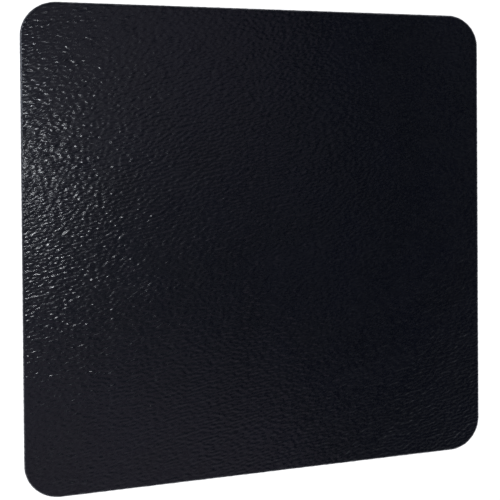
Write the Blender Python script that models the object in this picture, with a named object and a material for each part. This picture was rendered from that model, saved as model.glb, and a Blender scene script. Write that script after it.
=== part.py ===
"""Rigid floor mat: a flat square board with rounded corners that lies on the floor.

The board is built as a shallow pan. An embossed sheet-steel face is rolled over at its rim and
hemmed under, and the hem holds a thin back sheet and a mineral-fibre core inside. The frame
has its origin on the floor under the middle of the board, with +Z up through the face.
All sizes are in metres.
"""

import math

import bmesh
import bpy

# Overall size of the board
SIDE = 0.9144  # 36 in square
THICKNESS = 0.0127  # 1/2 in, from the floor to the top of the face
CORNER_RADIUS = 0.065

# The steel face and its rolled rim
FACE_SHEET = 0.0006  # 24 gauge
RIM_BEND = 0.0055  # outer radius of the roll over the top edge
HEM_BEND = 0.0030  # outer radius of the fold under the board
HEM_WIDTH = 0.0150  # from the board's outer side to the hem's free edge

# What the pan holds
CLEARANCE = 0.0003  # between two pieces that touch
BACK_SHEET = 0.0004
BACK_INSET = 0.0040  # from the board's outer side to the back sheet's edge
CORE_INSET = 0.0016
CORE_TOP_ROUND = 0.0039  # the core's upper edge gives way under the roll

# How finely curves are cut into flats
CORNER_STEPS = 14
BEND_STEPS = 6


def clear_scene():
    for thing in list(bpy.data.objects):
        bpy.data.objects.remove(thing, do_unlink=True)


def paint(name, colour, metallic, roughness):
    material = bpy.data.materials.new(name)
    material.use_nodes = True
    shader = material.node_tree.nodes["Principled BSDF"]
    shader.inputs["Base Color"].default_value = (*colour, 1.0)
    shader.inputs["Metallic"].default_value = metallic
    shader.inputs["Roughness"].default_value = roughness
    material.diffuse_color = (*colour, 1.0)
    return material


def rounded_square(inset):
    """The board's outline moved inwards by inset, anticlockwise, as (x, y) points."""
    centre = SIDE / 2 - CORNER_RADIUS
    radius = CORNER_RADIUS - inset
    points = []
    for quarter, (sx, sy) in enumerate(((1, 1), (-1, 1), (-1, -1), (1, -1))):
        for step in range(CORNER_STEPS + 1):
            angle = math.pi / 2 * (quarter + step / CORNER_STEPS)
            x = sx * centre + radius * math.cos(angle)
            y = sy * centre + radius * math.sin(angle)
            points.append((x, y))
    return points


def arc(centre_inset, centre_z, radius, start, end):
    """Points of a section's bend as (inset, z), with angles in degrees from inward, turning up."""
    points = []
    for step in range(BEND_STEPS + 1):
        angle = math.radians(start + (end - start) * step / BEND_STEPS)
        inset = centre_inset + radius * math.cos(angle)
        z = centre_z + radius * math.sin(angle)
        points.append((inset, z))
    return points


def sweep(name, section, material):
    """A solid made by carrying a section, (inset, z) points from its top face to its other
    face, round the board's outline. Both ends of the section are closed with a flat face."""
    bm = bmesh.new()
    rings = []
    for inset, z in section:
        rings.append([bm.verts.new((x, y, z)) for x, y in rounded_square(inset)])
    count = len(rings[0])
    for upper, lower in zip(rings, rings[1:]):
        for i in range(count):
            j = (i + 1) % count
            bm.faces.new((upper[j], upper[i], lower[i], lower[j]))
    bm.faces.new(rings[0])
    bm.faces.new(list(reversed(rings[-1])))
    mesh = bpy.data.meshes.new(name)
    bm.to_mesh(mesh)
    bm.free()
    mesh.shade_smooth()
    mesh.set_sharp_from_angle(angle=math.radians(35))
    mesh.materials.append(material)
    piece = bpy.data.objects.new(name, mesh)
    bpy.context.collection.objects.link(piece)
    return piece


def face_pan():
    """One sheet of steel: the face, the rolled rim, the side wall and the hem under the board."""
    top_z = THICKNESS - RIM_BEND
    outer = arc(RIM_BEND, top_z, RIM_BEND, 90, 180)
    outer += arc(HEM_BEND, HEM_BEND, HEM_BEND, 180, 270)
    outer.append((HEM_WIDTH, 0.0))
    inner = [(HEM_WIDTH, FACE_SHEET)]
    inner += arc(HEM_BEND, HEM_BEND, HEM_BEND - FACE_SHEET, 270, 180)
    inner += arc(RIM_BEND, top_z, RIM_BEND - FACE_SHEET, 180, 90)
    black = paint("black_paint", (0.012, 0.012, 0.015), 0.0, 0.4)
    return sweep("face_pan", outer + inner, black)


def core_board():
    """The mineral-fibre board that fills the pan."""
    top = THICKNESS - FACE_SHEET - CLEARANCE
    bottom = FACE_SHEET + CLEARANCE + BACK_SHEET + CLEARANCE
    section = arc(CORE_INSET + CORE_TOP_ROUND, top - CORE_TOP_ROUND, CORE_TOP_ROUND, 90, 180)
    section.append((CORE_INSET, bottom))
    fibre = paint("mineral_fibre", (0.55, 0.50, 0.42), 0.0, 0.95)
    return sweep("core_board", section, fibre)


def back_sheet():
    """The thin galvanised sheet that closes the underside, held at its edge by the hem."""
    bottom = FACE_SHEET + CLEARANCE
    section = [(BACK_INSET, bottom + BACK_SHEET), (BACK_INSET, bottom)]
    zinc = paint("galvanised_steel", (0.55, 0.56, 0.57), 1.0, 0.45)
    return sweep("back_sheet", section, zinc)


def main():
    clear_scene()
    board = bpy.data.objects.new("floor_mat", None)
    bpy.context.collection.objects.link(board)
    for piece in (face_pan(), core_board(), back_sheet()):
        piece.parent = board


main()
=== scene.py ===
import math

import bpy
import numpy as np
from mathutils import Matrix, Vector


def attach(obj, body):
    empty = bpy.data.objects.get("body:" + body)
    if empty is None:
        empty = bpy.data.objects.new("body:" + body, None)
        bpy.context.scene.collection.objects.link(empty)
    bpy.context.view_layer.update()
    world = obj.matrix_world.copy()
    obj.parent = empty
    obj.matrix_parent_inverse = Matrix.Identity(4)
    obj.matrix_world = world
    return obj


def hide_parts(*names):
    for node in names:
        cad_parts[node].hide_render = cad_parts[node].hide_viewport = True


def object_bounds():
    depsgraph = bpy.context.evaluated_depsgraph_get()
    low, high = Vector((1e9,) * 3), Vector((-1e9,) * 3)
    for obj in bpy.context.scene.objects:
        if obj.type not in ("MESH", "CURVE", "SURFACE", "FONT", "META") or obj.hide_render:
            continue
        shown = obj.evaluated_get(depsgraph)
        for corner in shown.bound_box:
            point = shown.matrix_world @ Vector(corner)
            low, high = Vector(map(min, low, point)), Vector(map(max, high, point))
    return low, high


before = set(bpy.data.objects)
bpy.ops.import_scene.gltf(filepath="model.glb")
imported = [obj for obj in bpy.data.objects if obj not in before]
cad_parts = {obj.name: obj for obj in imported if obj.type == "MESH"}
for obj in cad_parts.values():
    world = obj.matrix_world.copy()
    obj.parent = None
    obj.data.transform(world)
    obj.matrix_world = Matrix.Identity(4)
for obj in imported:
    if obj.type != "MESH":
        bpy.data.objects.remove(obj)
CAD_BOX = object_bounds()

# The looks of the rigid floor mat: a flat board lying on a pale floor. Its black steel face is
# embossed with a pebble grain that runs over the rolled rim and under the hem.
# All sizes are in metres, in the frame's own axes: Z is up and the floor is at z = 0.

MM = 0.001
LOW, HIGH = (np.array(corner) for corner in CAD_BOX)
HALF = (HIGH[0] - LOW[0]) / 2
THICKNESS = HIGH[2] - LOW[2]

# The board's section, as the CAD has it
CORNER_RADIUS = 65 * MM
RIM_BEND = 5.5 * MM
HEM_BEND = 3 * MM
HEM_WIDTH = 15 * MM
SHEET = 0.6 * MM

# The face pan's mesh: cells from the middle of the face to its edge, then steps along the section
FACE_CELLS = 320
RIM_STEPS = 8
WALL_STEPS = 3
HEM_BEND_STEPS = 5
HEM_STEPS = 8
INNER_RIM_STEPS = 4
INNER_HEM_STEPS = 3
INNER_HEM_SPLIT = 0.6  # of the hem's width: where its bare side has one more ring
OUTWARD_FROM, OUTWARD_TO = 6 * MM, 4 * MM  # two insets whose difference points out of the board

# The embossed grain
PEBBLE_LONG = 10.4 * MM
PEBBLE_SHORT = 5.8 * MM
PEBBLE_TURN = math.radians(12)
PEBBLE_RISE = 0.42 * MM
PEBBLE_RISE_SPREAD = (0.65, 1.25)  # of the rise, from the lowest pebble to the highest
PEBBLE_REACH = (-2, -1, 0, 1, 2)  # rows and columns of pebbles that count at a point
PEBBLE_SHARPNESS = 14.0  # higher makes the valleys between pebbles narrower
PEBBLE_JITTER = 0.31  # of a pebble's size
PEBBLE_DOMING = 3.2  # how steeply a pebble falls away from its middle
PEBBLE_VALLEY = 0.25  # the fall at which the valleys between pebbles bottom out
PEBBLE_LEVEL = 0.55  # of the rise: the sheet's own level, so the grain is about 0 on average
GRAIN_SEED = 11
GRAIN_TABLE = 256  # the pebbles' random numbers repeat after this many, wider than the board

# The unevenness of thin sheet bonded to a board: wavelength and depth of each set of ripples
RIPPLES = ((310 * MM, 0.10 * MM), (170 * MM, 0.06 * MM), (90 * MM, 0.03 * MM))
RIPPLES_IN_SET = 4

# The pleats that gather the hem where it turns a corner
PLEATS = 9
PLEAT_DEPTH = 0.35 * MM

# The paint. Noises are given by their cells per metre, before any stretch.
PAINT_SHADES = ((0.0020, 0.0038, 0.0116), (0.0030, 0.0050, 0.0150))
PAINT_COAT_ROUGHNESS = 0.085
PAINT_ROUGHNESS = (0.21, 0.27)
SMUDGE_ROUGHNESS = 0.08
PAINT_GRAIN = 180.0
PAINT_GRAIN_STRETCH = (0.55, 1.15, 1.0)
PAINT_GRAIN_DEPTH = 0.92 * MM
PAINT_GRAIN_BASE = 1.7 * MM  # so that the face lies on a layer of the noise, where it is crispest
ORANGE_PEEL = 700.0
ORANGE_PEEL_DEPTH = 0.02 * MM

# The galvanised sheet
ZINC_SHADES = ((0.60, 0.61, 0.63), (0.41, 0.42, 0.43))
ZINC_ROUGHNESS = (0.30, 0.48)
ZINC_STAIN = 0.35
SPANGLES = 85.0
BUCKLE_DEPTH = 1.2 * MM
CRYSTAL_DEPTH = 0.01 * MM
SCRATCH_DEPTH = 0.012 * MM

# The fibre board
FIBRE_SHADES = ((0.50, 0.45, 0.37), (0.62, 0.57, 0.49))
FIBRE_DEPTH = 0.4 * MM

# The floor and the sky. The eye sees both as white; these are what they give to the board.
WHITE = (1.0, 1.0, 1.0)
FLOOR_REACH = 12.0
FLOOR_DROP = 0.2 * MM  # keeps the floor clear of the hem
FLOOR_GLOW = 0.25
FLOOR_GLOW_TO_EYE = 0.97
SKY_TINT = (0.93, 0.97, 1.08)
HORIZON_GLOW, CEILING_GLOW = 0.55, 0.004
CEILING_FROM = 0.74  # the upward part of a direction from which the sky is at its dimmest
SKY_PATCH_GLOW = 0.10
SKY_WEST_GLOW = 0.030

# Each light's name, place, aim, size, watts and colour. The key is a narrow strip high over the
# west (-X): its glints on the pebbles are what the grain is seen by. The others are soft.
COOL = (0.91, 0.97, 1.12)
NEUTRAL = (0.96, 0.98, 1.01)
VIOLET = (1.06, 0.87, 1.10)
KEY_PLACE = (-1.66, -0.06, 4.0)
KEY_AIM = (-0.4, 0, 0)
LIGHTS = (
    ("key", KEY_PLACE, KEY_AIM, (0.07, 0.70), 5.2, NEUTRAL),
    ("key_glow", KEY_PLACE, KEY_AIM, (1.0, 1.0), 1.6, COOL),
    ("key_halo", (-1.66, 0.42, 4.0), KEY_AIM, (3.4, 2.4), 0.95, COOL),
    ("left_softbox", (-2.4, 0.55, 1.5), (0, 0.55, 0), (1.1, 1.4), 10, COOL),
    ("back_halo", (-0.42, 1.1, 4.0), (-0.3, 0.3, 0), (2.8, 2.4), 1.35, VIOLET),
    ("front_fill", (-0.9, -2.1, 2.4), (-0.3, -0.4, 0), (3.8, 1.9), 1.95, VIOLET),
)

CAMERA_PLACE = (-0.2224, 0.2075, 1.0505)
CAMERA_TURN = (-0.341, -10.309, -0.436)  # degrees about X, Y and Z, from straight down
CAMERA_LENS = 38.90  # mm, as Blender wants it
CAMERA_SENSOR = 36.0  # mm
CAMERA_SHIFT = -0.22  # of the frame's width, to bring the board to the middle of the main view


# ---------------------------------------------------------------- grain

def pebble_height(u, v):
    """Height of the grain, about 0 on average, at points on the flat sheet before forming."""
    rng = np.random.default_rng(GRAIN_SEED)
    jitter = rng.uniform(-PEBBLE_JITTER, PEBBLE_JITTER, (GRAIN_TABLE, GRAIN_TABLE, 2))
    rise = rng.uniform(*PEBBLE_RISE_SPREAD, (GRAIN_TABLE, GRAIN_TABLE))
    c, s = math.cos(PEBBLE_TURN), math.sin(PEBBLE_TURN)
    p = (u * c + v * s) / PEBBLE_LONG
    q = (v * c - u * s) / PEBBLE_SHORT
    row = np.floor(q).astype(int)
    total = np.zeros_like(p)
    lift = np.zeros_like(p)
    for dr in PEBBLE_REACH:
        r = row + dr
        shift = 0.5 * (r % 2)
        column = np.floor(p - shift).astype(int)
        for dc in PEBBLE_REACH:
            k = column + dc
            a, b = k % GRAIN_TABLE, r % GRAIN_TABLE
            x = k + 0.5 + shift + jitter[a, b, 0]
            y = r + 0.5 + jitter[a, b, 1]
            weight = np.exp(-PEBBLE_SHARPNESS * ((p - x) ** 2 + (q - y) ** 2))
            total += weight
            lift += weight * rise[a, b]
    dome = np.log(total) / PEBBLE_SHARPNESS  # 0 at a pebble's middle, lowest between pebbles
    dome = PEBBLE_VALLEY * np.tanh(dome / PEBBLE_VALLEY)
    return PEBBLE_RISE * (lift / total * (1 + PEBBLE_DOMING * dome) - PEBBLE_LEVEL)


def waviness(u, v):
    """Height of the sheet's slight unevenness."""
    rng = np.random.default_rng(GRAIN_SEED + 1)
    total = np.zeros_like(u)
    for wavelength, depth in RIPPLES:
        for _ in range(RIPPLES_IN_SET):
            heading, phase = rng.uniform(0, 2 * math.pi, 2)
            along = u * math.cos(heading) + v * math.sin(heading)
            total += depth / 2 * np.sin(2 * math.pi * along / wavelength + phase)
    return total


def pleat_height(nx, ny, inset):
    """How far the hem's underside is gathered up at a corner, deepest at its free edge."""
    turn = np.arctan2(np.abs(ny), np.abs(nx)) / (math.pi / 2)
    wave = 0.5 - 0.5 * np.cos(2 * math.pi * PLEATS * turn)
    corner = np.sqrt(np.abs(np.sin(math.pi * turn)))
    share = max(inset - HEM_BEND, 0) / (HEM_WIDTH - HEM_BEND)
    return PLEAT_DEPTH * wave * corner * share


# ---------------------------------------------------------------- face pan mesh

def ring_point(major, minor, inset):
    """Points of the outline moved inwards by inset. major and minor are whole-number places on
    a square ring, as arrays, and come back as metres along the same two directions."""
    radius = np.maximum(CORNER_RADIUS - inset, 0)
    straight = HALF - inset - radius
    share = np.abs(minor) / np.maximum(np.abs(major), 1)
    length = share * (straight + radius * math.pi / 4)
    turn = np.maximum(length - straight, 0) / np.maximum(radius, 1e-9)
    out = straight + radius * np.cos(turn)
    side = np.where(length <= straight, length, straight + radius * np.sin(turn))
    return np.sign(major) * out, np.sign(minor) * side


def place(i, j, inset):
    """Metres for whole-number grid places i, j on rings whose inset is given."""
    steep = np.abs(j) > np.abs(i)
    major, minor = np.where(steep, j, i), np.where(steep, i, j)
    out, side = ring_point(major, minor, inset)
    return np.where(steep, side, out), np.where(steep, out, side)


def outward(i, j):
    """Unit direction out of the board at places on the outline."""
    x1, y1 = place(i, j, np.full(len(i), OUTWARD_TO))
    x0, y0 = place(i, j, np.full(len(i), OUTWARD_FROM))
    nx, ny = x1 - x0, y1 - y0
    size = np.hypot(nx, ny)
    return nx / size, ny / size


def arc(inset, z, radius, start, end, steps):
    """Stations round a bend: (inset, z, normal inwards, normal up), angles in degrees."""
    out = []
    for n in range(steps + 1):
        a = math.radians(start + (end - start) * n / steps)
        c, s = math.cos(a), math.sin(a)
        out.append((inset + radius * c, z + radius * s, c, s))
    return out


def outer_section():
    """Stations of the painted side beyond the flat face, out and round to the hem's free edge."""
    top = THICKNESS - RIM_BEND
    out = arc(RIM_BEND, top, RIM_BEND, 90, 180, RIM_STEPS)[1:]
    for n in range(1, WALL_STEPS):
        out.append((0.0, top + (HEM_BEND - top) * n / WALL_STEPS, -1.0, 0.0))
    out += arc(HEM_BEND, HEM_BEND, HEM_BEND, 180, 270, HEM_BEND_STEPS)
    for n in range(1, HEM_STEPS + 1):
        out.append((HEM_BEND + (HEM_WIDTH - HEM_BEND) * n / HEM_STEPS, 0.0, 0.0, -1.0))
    return out


def inner_section():
    """Stations of the bare side, from the hem's free edge back up to the face's underside."""
    top = THICKNESS - RIM_BEND
    out = [(HEM_WIDTH, SHEET), (HEM_WIDTH * INNER_HEM_SPLIT, SHEET)]
    bends = arc(HEM_BEND, HEM_BEND, HEM_BEND - SHEET, 270, 180, INNER_HEM_STEPS)
    bends += arc(RIM_BEND, top, RIM_BEND - SHEET, 180, 90, INNER_RIM_STEPS)
    return out + [(inset, z) for inset, z, _, _ in bends]


def face_grid():
    """The flat of the face: its points, its quads, and its places i, j on the grid."""
    n = FACE_CELLS
    i, j = np.meshgrid(np.arange(-n, n + 1), np.arange(-n, n + 1), indexing="ij")
    i, j = i.ravel(), j.ravel()
    ring = np.maximum(np.abs(i), np.abs(j))
    x, y = place(i, j, HALF - (HALF - RIM_BEND) * ring / n)
    z = THICKNESS + pebble_height(x, y) + waviness(x, y)
    number = np.arange(len(i)).reshape(2 * n + 1, 2 * n + 1)
    corners = (number[:-1, :-1], number[1:, :-1], number[1:, 1:], number[:-1, 1:])
    quads = np.stack(corners, -1).reshape(-1, 4)
    # the edge of the grid, anticlockwise
    edge = (number[-1, :-1], number[:0:-1, -1], number[0, :0:-1], number[:-1, 0])
    return np.stack([x, y, z], 1), quads, i, j, np.concatenate(edge)


def build_face_pan():
    """The face, then rings of points round the rim and hem, then back inside to one flat cap.
    Returns the points, the quads and the cap's corners."""
    points, quads, i, j, edge = face_grid()
    i, j = i[edge], j[edge]
    nx, ny = outward(i, j)
    x0, y0 = place(i, j, np.full(len(i), RIM_BEND))
    points, quads = [points], [quads]
    count, last = len(points[0]), edge

    def add_ring(x, y, z):
        nonlocal count, last
        this = count + np.arange(len(x))
        points.append(np.stack([x, y, z], 1))
        quads.append(np.stack([np.roll(last, -1), last, this, np.roll(this, -1)], -1))
        count += len(x)
        last = this

    travelled = 0.0
    before = (RIM_BEND, THICKNESS)
    for inset, z, inwards, up in outer_section():
        travelled += math.hypot(inset - before[0], z - before[1])
        before = (inset, z)
        x, y = place(i, j, np.full(len(i), inset))
        h = pebble_height(x0 + nx * travelled, y0 + ny * travelled)
        h += waviness(x0, y0) * max(up, 0)
        above_floor = np.maximum(z + up * h, 0.0) + pleat_height(nx, ny, inset) * max(-up, 0)
        add_ring(x - nx * inwards * h, y - ny * inwards * h, above_floor)
    for inset, z in inner_section():
        x, y = place(i, j, np.full(len(i), inset))
        add_ring(x, y, np.full(len(i), z))
    return np.concatenate(points), np.concatenate(quads), last[::-1]


def mesh_object(name, points, quads, cap, material):
    """An object of quads, closed by one many-sided face."""
    mesh = bpy.data.meshes.new(name)
    mesh.vertices.add(len(points))
    mesh.vertices.foreach_set("co", points.astype(np.float32).ravel())
    mesh.loops.add(quads.size + len(cap))
    order = np.concatenate([quads.ravel(), cap])
    mesh.loops.foreach_set("vertex_index", order.astype(np.int32))
    mesh.polygons.add(len(quads) + 1)
    starts = np.arange(len(quads) + 1) * 4
    mesh.polygons.foreach_set("loop_start", starts.astype(np.int32))
    mesh.update(calc_edges=True)
    mesh.validate()
    mesh.shade_smooth()
    mesh.materials.append(material)
    piece = bpy.data.objects.new(name, mesh)
    bpy.context.collection.objects.link(piece)
    return piece


# ---------------------------------------------------------------- shader nodes

def new_material(name):
    material = bpy.data.materials.new(name)
    material.use_nodes = True
    tree = material.node_tree
    return material, tree, tree.nodes["Principled BSDF"]


def object_coords(tree, stretch=(1.0, 1.0, 1.0), turn=0.0, base=0.0):
    """Places on the object in metres, from height base, turned about Z, then times stretch."""
    node = tree.nodes.new("ShaderNodeMapping")
    node.vector_type = "TEXTURE"
    node.inputs["Location"].default_value = (0.0, 0.0, base)
    node.inputs["Rotation"].default_value = (0.0, 0.0, turn)
    node.inputs["Scale"].default_value = [1.0 / s for s in stretch]
    tree.links.new(tree.nodes.new("ShaderNodeTexCoord").outputs["Object"], node.inputs["Vector"])
    return node.outputs["Vector"]


def noise(tree, coords, scale, detail=3.0, rough=0.55):
    node = tree.nodes.new("ShaderNodeTexNoise")
    node.inputs["Scale"].default_value = scale
    node.inputs["Detail"].default_value = detail
    node.inputs["Roughness"].default_value = rough
    tree.links.new(coords, node.inputs["Vector"])
    return node.outputs["Fac"]


def cells(tree, coords, scale, feature="F1"):
    node = tree.nodes.new("ShaderNodeTexVoronoi")
    node.feature = feature
    node.inputs["Scale"].default_value = scale
    tree.links.new(coords, node.inputs["Vector"])
    return node.outputs


def ramp(tree, value, low, high, out_low=0.0, out_high=1.0):
    node = tree.nodes.new("ShaderNodeMapRange")
    node.inputs["From Min"].default_value = low
    node.inputs["From Max"].default_value = high
    node.inputs["To Min"].default_value = out_low
    node.inputs["To Max"].default_value = out_high
    tree.links.new(value, node.inputs["Value"])
    return node.outputs["Result"]


def add(tree, first, second):
    node = tree.nodes.new("ShaderNodeMath")
    node.operation = "ADD"
    tree.links.new(first, node.inputs[0])
    tree.links.new(second, node.inputs[1])
    return node.outputs["Value"]


def colour_mix(tree, value, dark, light):
    node = tree.nodes.new("ShaderNodeMix")
    node.data_type = "RGBA"
    node.inputs[6].default_value = (*dark, 1)
    node.inputs[7].default_value = (*light, 1)
    tree.links.new(value, node.inputs[0])
    return node.outputs[2]


def bump(tree, height, distance, normal=None):
    node = tree.nodes.new("ShaderNodeBump")
    node.inputs["Distance"].default_value = distance
    tree.links.new(height, node.inputs["Height"])
    if normal is not None:
        tree.links.new(normal, node.inputs["Normal"])
    return node.outputs["Normal"]


# ---------------------------------------------------------------- materials

def black_paint():
    """Blue-black enamel under a glossy coat, with a fine grain on top of the embossed pebbles."""
    material, tree, shader = new_material("grained_black_paint")
    coords = object_coords(tree)
    cloud = ramp(tree, noise(tree, coords, scale=9.0), low=0.35, high=0.65)
    tree.links.new(colour_mix(tree, cloud, *PAINT_SHADES), shader.inputs["Base Color"])
    specks = noise(tree, coords, scale=260.0, detail=2.0)
    fine = ramp(tree, specks, 0.3, 0.7, *PAINT_ROUGHNESS)
    smudges = noise(tree, coords, scale=14.0, detail=4.0)
    smudge = ramp(tree, smudges, 0.35, 0.7, 0.0, SMUDGE_ROUGHNESS)
    tree.links.new(add(tree, fine, smudge), shader.inputs["Roughness"])
    grain_coords = object_coords(tree, PAINT_GRAIN_STRETCH, PEBBLE_TURN, PAINT_GRAIN_BASE)
    grain = noise(tree, grain_coords, PAINT_GRAIN, detail=0.0)
    peel = bump(tree, noise(tree, coords, ORANGE_PEEL, detail=1.0), ORANGE_PEEL_DEPTH)
    normal = bump(tree, grain, PAINT_GRAIN_DEPTH, peel)
    tree.links.new(normal, shader.inputs["Normal"])
    tree.links.new(normal, shader.inputs["Coat Normal"])
    shader.inputs["Coat Weight"].default_value = 1.0
    shader.inputs["Coat Roughness"].default_value = PAINT_COAT_ROUGHNESS
    return material


def galvanised_steel():
    """Zinc-coated sheet: crystal spangles, faint stains, rolling scratches and slow buckles."""
    material, tree, shader = new_material("galvanised_steel")
    coords = object_coords(tree)
    spangle = tree.nodes.new("ShaderNodeSeparateColor")
    tree.links.new(cells(tree, coords, SPANGLES)["Color"], spangle.inputs["Color"])
    stains = noise(tree, coords, scale=7.0, detail=5.0)
    stain = ramp(tree, stains, 0.42, 0.7, 0.0, ZINC_STAIN)
    shade = add(tree, spangle.outputs[0], stain)
    tree.links.new(colour_mix(tree, shade, *ZINC_SHADES), shader.inputs["Base Color"])
    shader.inputs["Metallic"].default_value = 1.0
    facet = ramp(tree, spangle.outputs[1], 0.0, 1.0, *ZINC_ROUGHNESS)
    tree.links.new(add(tree, facet, stain), shader.inputs["Roughness"])
    buckles = bump(tree, noise(tree, coords, scale=5.0, detail=1.0), BUCKLE_DEPTH)
    borders = cells(tree, coords, SPANGLES, "DISTANCE_TO_EDGE")["Distance"]
    crystals = bump(tree, ramp(tree, borders, low=0.0, high=0.06), CRYSTAL_DEPTH, buckles)
    rolled_coords = object_coords(tree, stretch=(0.04, 1.0, 1.0))
    scratches = noise(tree, rolled_coords, scale=900.0, detail=2.0)
    normal = bump(tree, scratches, SCRATCH_DEPTH, crystals)
    tree.links.new(normal, shader.inputs["Normal"])
    return material


def mineral_fibre():
    """Pressed fibre board, matt and buff."""
    material, tree, shader = new_material("mineral_fibre")
    blotch = ramp(tree, noise(tree, object_coords(tree), scale=30.0), low=0.3, high=0.7)
    tree.links.new(colour_mix(tree, blotch, *FIBRE_SHADES), shader.inputs["Base Color"])
    shader.inputs["Roughness"].default_value = 0.95
    fibre_coords = object_coords(tree, stretch=(0.35, 1.0, 1.0))
    fibres = noise(tree, fibre_coords, scale=420.0, detail=6.0, rough=0.7)
    tree.links.new(bump(tree, fibres, FIBRE_DEPTH), shader.inputs["Normal"])
    return material


def refinish(node, material):
    """Gives a CAD node that stays a better material."""
    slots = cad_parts[node].data.materials
    slots.clear()
    slots.append(material)


# ---------------------------------------------------------------- studio

def area_light(name, at, aim, size, power, colour):
    data = bpy.data.lights.new(name, "AREA")
    data.shape = "RECTANGLE"
    data.size, data.size_y = size
    data.energy = power
    data.color = colour
    light = bpy.data.objects.new(name, data)
    light.location = at
    light.rotation_euler = (Vector(aim) - Vector(at)).to_track_quat("-Z", "Y").to_euler()
    light.visible_camera = False
    bpy.context.collection.objects.link(light)


def studio_floor():
    """A plain pale floor that runs past every view, lit softly from within."""
    material, tree, shader = new_material("pale_floor")
    shader.inputs["Base Color"].default_value = (0.8, 0.8, 0.8, 1)
    shader.inputs["Roughness"].default_value = 0.9
    shader.inputs["Emission Color"].default_value = (1, 1, 1, 1)
    to_eye = tree.nodes.new("ShaderNodeLightPath").outputs["Is Camera Ray"]
    glow = ramp(tree, to_eye, 0.0, 1.0, FLOOR_GLOW, FLOOR_GLOW_TO_EYE)
    tree.links.new(glow, shader.inputs["Emission Strength"])
    mesh = bpy.data.meshes.new("floor")
    reach = FLOOR_REACH
    corners = [(-reach, -reach, 0), (reach, -reach, 0), (reach, reach, 0), (-reach, reach, 0)]
    mesh.from_pydata(corners, [], [(0, 1, 2, 3)])
    mesh.materials.append(material)
    floor = bpy.data.objects.new("floor", mesh)
    floor.location.z = -FLOOR_DROP
    bpy.context.collection.objects.link(floor)


def studio_world():
    """White to the eye; to everything else a pale horizon under a dim, patchy ceiling."""
    world = bpy.data.worlds.new("studio")
    world.use_nodes = True
    tree = world.node_tree
    heading = tree.nodes.new("ShaderNodeTexCoord").outputs["Generated"]
    split = tree.nodes.new("ShaderNodeSeparateXYZ")
    tree.links.new(heading, split.inputs[0])
    height = ramp(tree, split.outputs["Z"], 0.0, CEILING_FROM, HORIZON_GLOW, CEILING_GLOW)
    height.node.interpolation_type = "SMOOTHSTEP"
    tint = tree.nodes.new("ShaderNodeVectorMath")
    tint.operation = "SCALE"
    tint.inputs[0].default_value = SKY_TINT
    blotches = noise(tree, heading, scale=9.0, detail=1.0)
    patches = ramp(tree, blotches, low=0.46, high=0.56, out_high=SKY_PATCH_GLOW)
    paler_west = ramp(tree, split.outputs["X"], low=0.40, high=-0.15, out_high=SKY_WEST_GLOW)
    glow = add(tree, add(tree, height, patches), paler_west)
    tree.links.new(glow, tint.inputs["Scale"])
    to_eye = tree.nodes.new("ShaderNodeLightPath").outputs["Is Camera Ray"]
    seen = colour_mix(tree, to_eye, WHITE, WHITE)
    tree.links.new(tint.outputs["Vector"], seen.node.inputs[6])  # the sky, in the first one's place
    tree.links.new(seen, tree.nodes["Background"].inputs["Color"])
    bpy.context.scene.world = world


def studio_camera():
    """Looks down on the face, leaning about 10 degrees to the east, with the frame shifted."""
    data = bpy.data.cameras.new("camera")
    data.lens = CAMERA_LENS
    data.sensor_width = CAMERA_SENSOR
    data.shift_y = CAMERA_SHIFT
    camera = bpy.data.objects.new("camera", data)
    camera.location = CAMERA_PLACE
    camera.rotation_euler = [math.radians(angle) for angle in CAMERA_TURN]
    bpy.context.collection.objects.link(camera)
    bpy.context.scene.camera = camera


# ---------------------------------------------------------------- the mat in its studio

pan = mesh_object("embossed_face_pan", *build_face_pan(), black_paint())
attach(pan, "root")
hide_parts("face_pan")

refinish("back_sheet", galvanised_steel())
refinish("core_board", mineral_fibre())

studio_camera()
studio_floor()
studio_world()
for light in LIGHTS:
    area_light(*light)
bpy.context.scene.view_settings.view_transform = "Standard"
